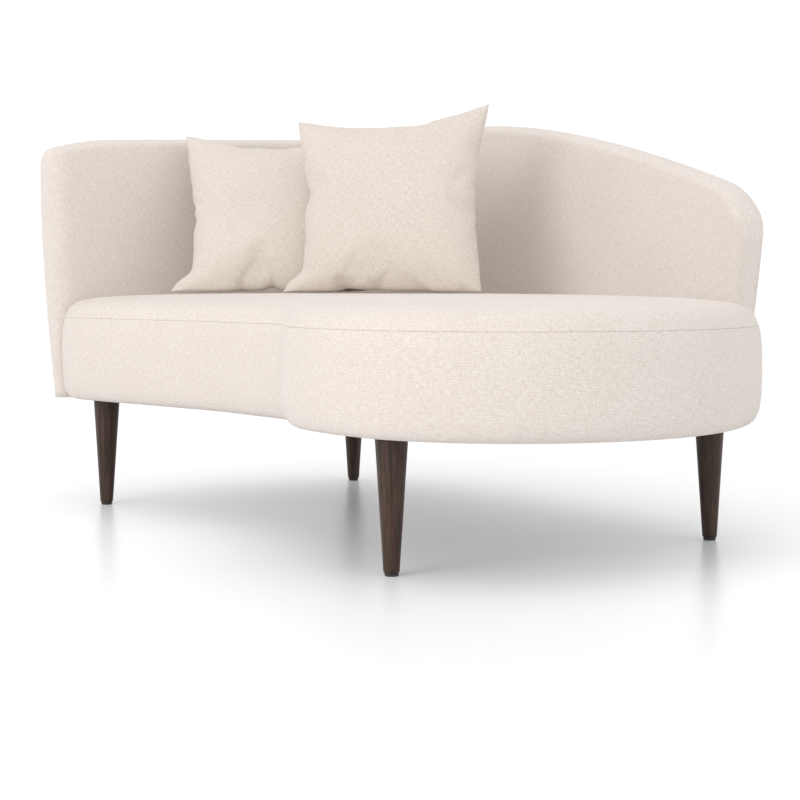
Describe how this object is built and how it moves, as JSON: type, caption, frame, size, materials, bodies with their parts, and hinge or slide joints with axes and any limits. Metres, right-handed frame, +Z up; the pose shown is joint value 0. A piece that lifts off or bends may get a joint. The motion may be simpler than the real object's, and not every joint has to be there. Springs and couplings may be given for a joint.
{
  "type": "chaise sofa",
  "caption": "Kidney-shaped upholstered chaise sofa with a wrap-around sloping back, tapered round dark wooden legs and loose square throw pillows, for lounging with the legs up.",
  "frame": {"origin": "middle of the sofa's bounding box in plan, on the floor", "axes": "+X along the length towards the rounded foot end, +Y towards the rear, the open front facing -Y, +Z up"},
  "size_m": [1.5662, 0.9848, 0.8561],
  "materials": {
    "fabric": "coarse cream weave, matt",
    "pillow_fabric": "coarse oatmeal weave, matt",
    "foam": "open-cell upholstery foam, matt",
    "fibre": "polyester fibre fill, matt",
    "ply": "raw birch plywood and hardwood",
    "stained_wood": "open-grain hardwood, dark espresso stain, satin",
    "zinc_steel": "bright zinc plate",
    "glide_plastic": "black nylon",
    "cambric": "black non-woven cloth",
    "webbing": "elastic upholstery webbing"
  },
  "bodies": {
    "sofa": {"seat_top_cover": "fabric", "seat_border_cover": "fabric", "seat_foam": "foam", "seat_border_foam": "foam", "seat_side_panel": "ply", "seat_top_ring": "ply", "base_ring": "ply", "dust_cover": "cambric", "back_inner_cover": "fabric", "back_outer_cover": "fabric", "back_inner_foam": "foam", "back_outer_pad": "fibre", "back_panel": "ply", "web_strap_1": "webbing", "web_strap_2": "webbing", "web_strap_3": "webbing", "web_strap_4": "webbing", "corner_block_front_left": "ply", "leg_front_left": "stained_wood", "leg_plate_front_left": "zinc_steel", "hanger_bolt_front_left": "zinc_steel", "glide_front_left": "glide_plastic", "screw_front_left_1": "zinc_steel", "screw_front_left_2": "zinc_steel", "screw_front_left_3": "zinc_steel", "screw_front_left_4": "zinc_steel", "corner_block_rear_left": "ply", "leg_rear_left": "stained_wood", "leg_plate_rear_left": "zinc_steel", "hanger_bolt_rear_left": "zinc_steel", "glide_rear_left": "glide_plastic", "screw_rear_left_1": "zinc_steel", "screw_rear_left_2": "zinc_steel", "screw_rear_left_3": "zinc_steel", "screw_rear_left_4": "zinc_steel", "corner_block_front_right": "ply", "leg_front_right": "stained_wood", "leg_plate_front_right": "zinc_steel", "hanger_bolt_front_right": "zinc_steel", "glide_front_right": "glide_plastic", "screw_front_right_1": "zinc_steel", "screw_front_right_2": "zinc_steel", "screw_front_right_3": "zinc_steel", "screw_front_right_4": "zinc_steel", "corner_block_rear_right": "ply", "leg_rear_right": "stained_wood", "leg_plate_rear_right": "zinc_steel", "hanger_bolt_rear_right": "zinc_steel", "glide_rear_right": "glide_plastic", "screw_rear_right_1": "zinc_steel", "screw_rear_right_2": "zinc_steel", "screw_rear_right_3": "zinc_steel", "screw_rear_right_4": "zinc_steel"},
    "left_pillow": {"pillow_left_front_cover": "pillow_fabric", "pillow_left_back_cover": "pillow_fabric", "pillow_left_insert": "fibre"},
    "right_pillow": {"pillow_right_front_cover": "pillow_fabric", "pillow_right_back_cover": "pillow_fabric", "pillow_right_insert": "fibre"}
  },
  "joints": [
    {"name": "left_pillow_lift", "type": "slide", "parent": "sofa", "child": "left_pillow", "axis": [-0.35, 0.3, 0.8874], "range_m": [0, 0.5]},
    {"name": "right_pillow_lift", "type": "slide", "parent": "sofa", "child": "right_pillow", "axis": [0.45, -0.45, 0.7714], "range_m": [0, 0.5]}
  ]
}
